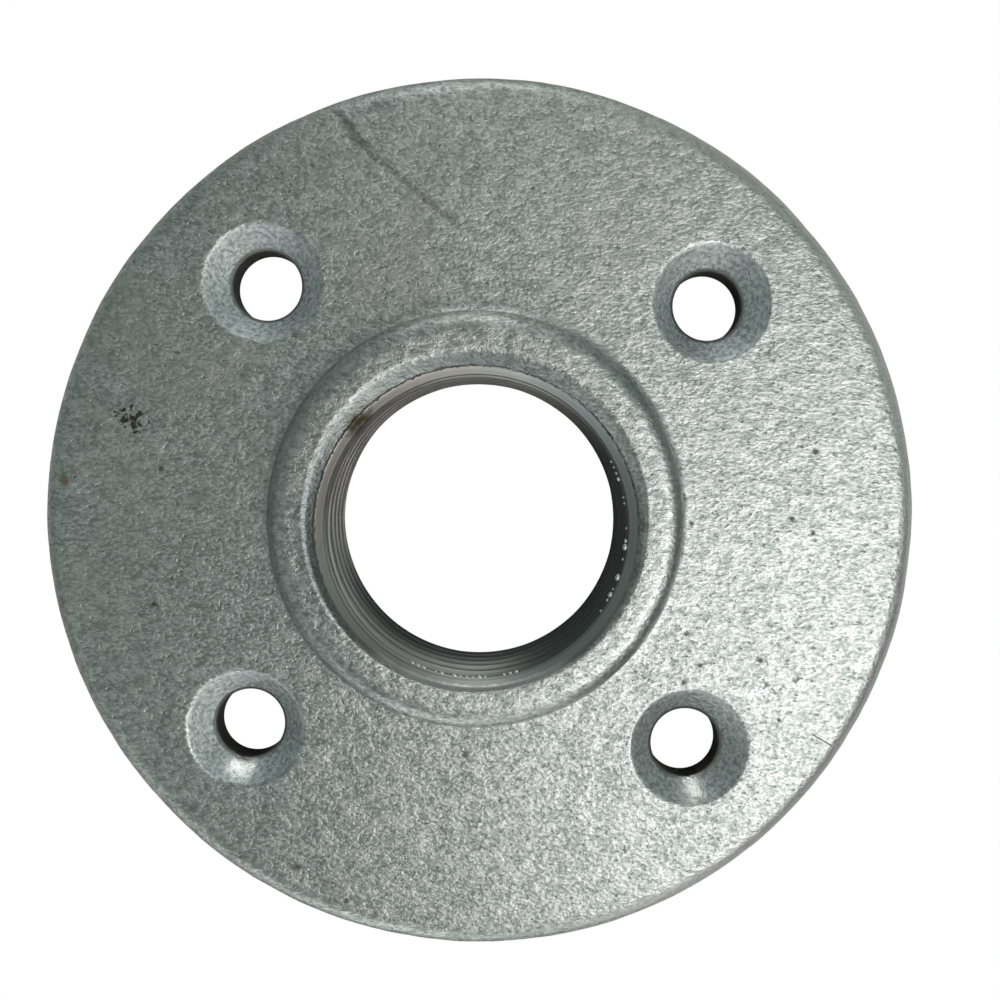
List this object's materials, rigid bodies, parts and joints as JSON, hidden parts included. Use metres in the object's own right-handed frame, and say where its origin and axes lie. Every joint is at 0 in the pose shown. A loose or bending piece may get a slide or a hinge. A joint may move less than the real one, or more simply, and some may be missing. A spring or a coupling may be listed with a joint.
{
  "type": "floor flange",
  "caption": "Round galvanised cast-iron floor flange: a disc with countersunk screw holes and a low threaded hub that holds the end of a pipe.",
  "frame": {"origin": "centre of the back face of the disc, on the axis of the threaded bore", "axes": "+Z along the bore axis, from the back face to the hub's lip, the way the pipe leaves; the screw holes lie on the diagonals between X and Y"},
  "size_m": [0.096, 0.096, 0.014],
  "materials": {
    "galvanised_casting": "hot-dip galvanised over a sand-cast skin, grainy and semi-matt, with bare cut metal in the threaded bore"
  },
  "bodies": {
    "root": {"floor_flange": "galvanised_casting"}
  },
  "joints": []
}
